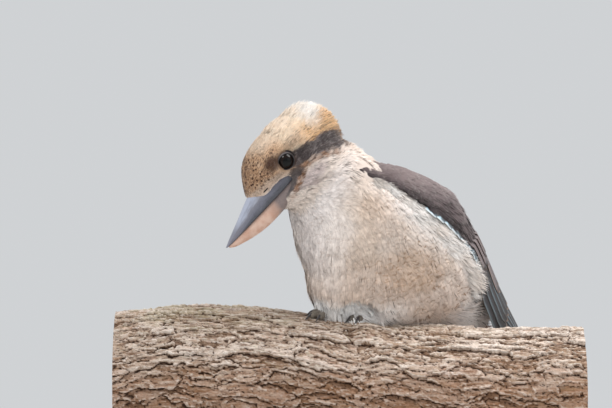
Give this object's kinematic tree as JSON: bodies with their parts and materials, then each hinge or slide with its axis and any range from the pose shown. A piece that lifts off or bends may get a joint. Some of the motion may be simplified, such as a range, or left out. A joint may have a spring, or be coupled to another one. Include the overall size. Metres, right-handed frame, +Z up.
{
  "type": "laughing kookaburra display model",
  "caption": "Life-size still model of a hunched laughing kookaburra, feathered, gripping a short length of bark-covered branch on a plain display stand.",
  "frame": {"origin": "centre of the display stand's underside", "axes": "+Z up; +X along the branch to the right as the front is seen; -Y to the front, the side that the bird half faces"},
  "size_m": [0.41, 0.2312, 0.3677],
  "materials": {
    "breast_down": "soft feathers, cream with fine brown scales",
    "head_down": "soft feathers, buff with rufous flecks and a dark eye stripe",
    "wing_vane": "flight feathers, dark brown with pale edges and blue tips",
    "tail_vane": "tail feathers, rufous with dark bars and white tips",
    "bill_dark": "satin dark horn",
    "bill_pale": "satin peach horn",
    "eye": "glossy dark brown eye",
    "foot_skin": "dry scaled skin",
    "claw": "satin dark horn",
    "bark": "rough plated bark, pale sawn ends",
    "stand_wood": "dark stained wood, satin",
    "stand_metal": "brushed rod"
  },
  "bodies": {
    "root": {"torso": "breast_down", "neck": "breast_down", "head": "head_down", "bill_upper": "bill_dark", "bill_lower": "bill_pale", "eye_left": "eye", "eye_right": "eye", "wing_left": "wing_vane", "wing_right": "wing_vane", "tail": "tail_vane", "leg_left": "foot_skin", "leg_right": "foot_skin", "claw_left_1": "claw", "claw_left_2": "claw", "claw_left_3": "claw", "claw_left_4": "claw", "claw_right_1": "claw", "claw_right_2": "claw", "claw_right_3": "claw", "claw_right_4": "claw", "perch": "bark", "stand_base": "stand_wood", "stand_rod_left": "stand_metal", "stand_rod_right": "stand_metal"}
  },
  "joints": []
}
